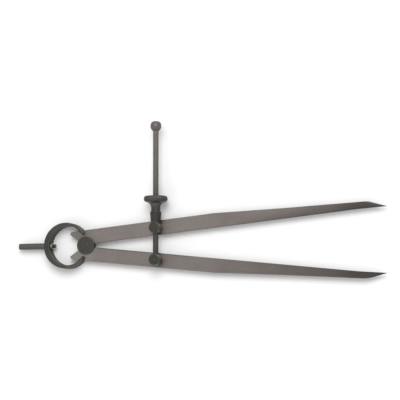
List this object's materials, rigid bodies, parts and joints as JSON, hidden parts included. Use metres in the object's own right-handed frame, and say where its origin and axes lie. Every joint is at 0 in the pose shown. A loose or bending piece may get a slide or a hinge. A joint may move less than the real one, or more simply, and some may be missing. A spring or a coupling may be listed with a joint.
{
  "type": "drafting divider",
  "caption": "Flat-leg spring divider with a bow spring, a fulcrum between pointed legs and a quick-release nut on a ball-ended screw that sets the distance between the points",
  "frame": {"origin": "on the fulcrum's axis, at the centre of the outer face of the fulcrum's back flange", "axes": "+X along the divider from the fulcrum to the points, +Y across it towards the screw's ball, +Z out of the front, where the screw is"},
  "size_m": [0.3669, 0.1542, 0.0245],
  "materials": {
    "leg_steel": "satin, ground flat",
    "dark_steel": "dark oxide, satin",
    "worn_steel": "oxide worn to bare steel"
  },
  "bodies": {
    "grip": {"bow_spring": "dark_steel", "handle": "dark_steel", "handle_washer": "worn_steel"},
    "fulcrum": {"fulcrum_stud": "dark_steel", "fulcrum_cap": "dark_steel"},
    "upper_leg": {"upper_leg": "leg_steel"},
    "lower_leg": {"lower_leg": "leg_steel"},
    "upper_swivel": {"upper_stud": "dark_steel", "upper_stud_washer": "dark_steel", "nut_cup": "dark_steel"},
    "lower_swivel": {"lower_stud": "dark_steel", "lower_stud_washer": "dark_steel", "adjusting_screw": "worn_steel", "screw_pin": "worn_steel", "screw_ball": "worn_steel"},
    "nut": {"quick_nut": "dark_steel"}
  },
  "joints": [
    {"name": "fulcrum_slide", "type": "slide", "parent": "grip", "child": "fulcrum", "axis": [1, 0, 0], "range_m": [-0.0014, 0.0056]},
    {"name": "leg_open", "type": "hinge", "parent": "fulcrum", "child": "upper_leg", "pos_m": [0, 0, 0.0034], "axis": [0, 0, 1], "range_deg": [-6, 26]},
    {"name": "lower_leg_open", "type": "hinge", "parent": "fulcrum", "child": "lower_leg", "pos_m": [0, 0, 0.0034], "axis": [0, 0, 1], "range_deg": [-26.5, 6.5]},
    {"name": "upper_stud_swivel", "type": "hinge", "parent": "upper_leg", "child": "upper_swivel", "pos_m": [0.07228, 0.01544, 0.0034], "axis": [0, 0, 1], "range_deg": [-26.5, 6.5]},
    {"name": "lower_stud_swivel", "type": "hinge", "parent": "lower_leg", "child": "lower_swivel", "pos_m": [0.07228, -0.01544, 0.0034], "axis": [0, 0, 1], "range_deg": [-6.5, 26.5]},
    {"name": "nut_spin", "type": "hinge", "parent": "upper_swivel", "child": "nut", "pos_m": [0.07228, 0.01544, 0.0105], "axis": [0, 1, 0], "continuous": true}
  ],
  "couplings": [
    {"joint": "fulcrum_slide", "follows": "leg_open", "m_per_rad": 0.0118},
    {"joint": "lower_leg_open", "follows": "leg_open", "ratio": -1},
    {"joint": "upper_stud_swivel", "follows": "leg_open", "ratio": -1},
    {"joint": "lower_stud_swivel", "follows": "leg_open", "ratio": 1}
  ]
}
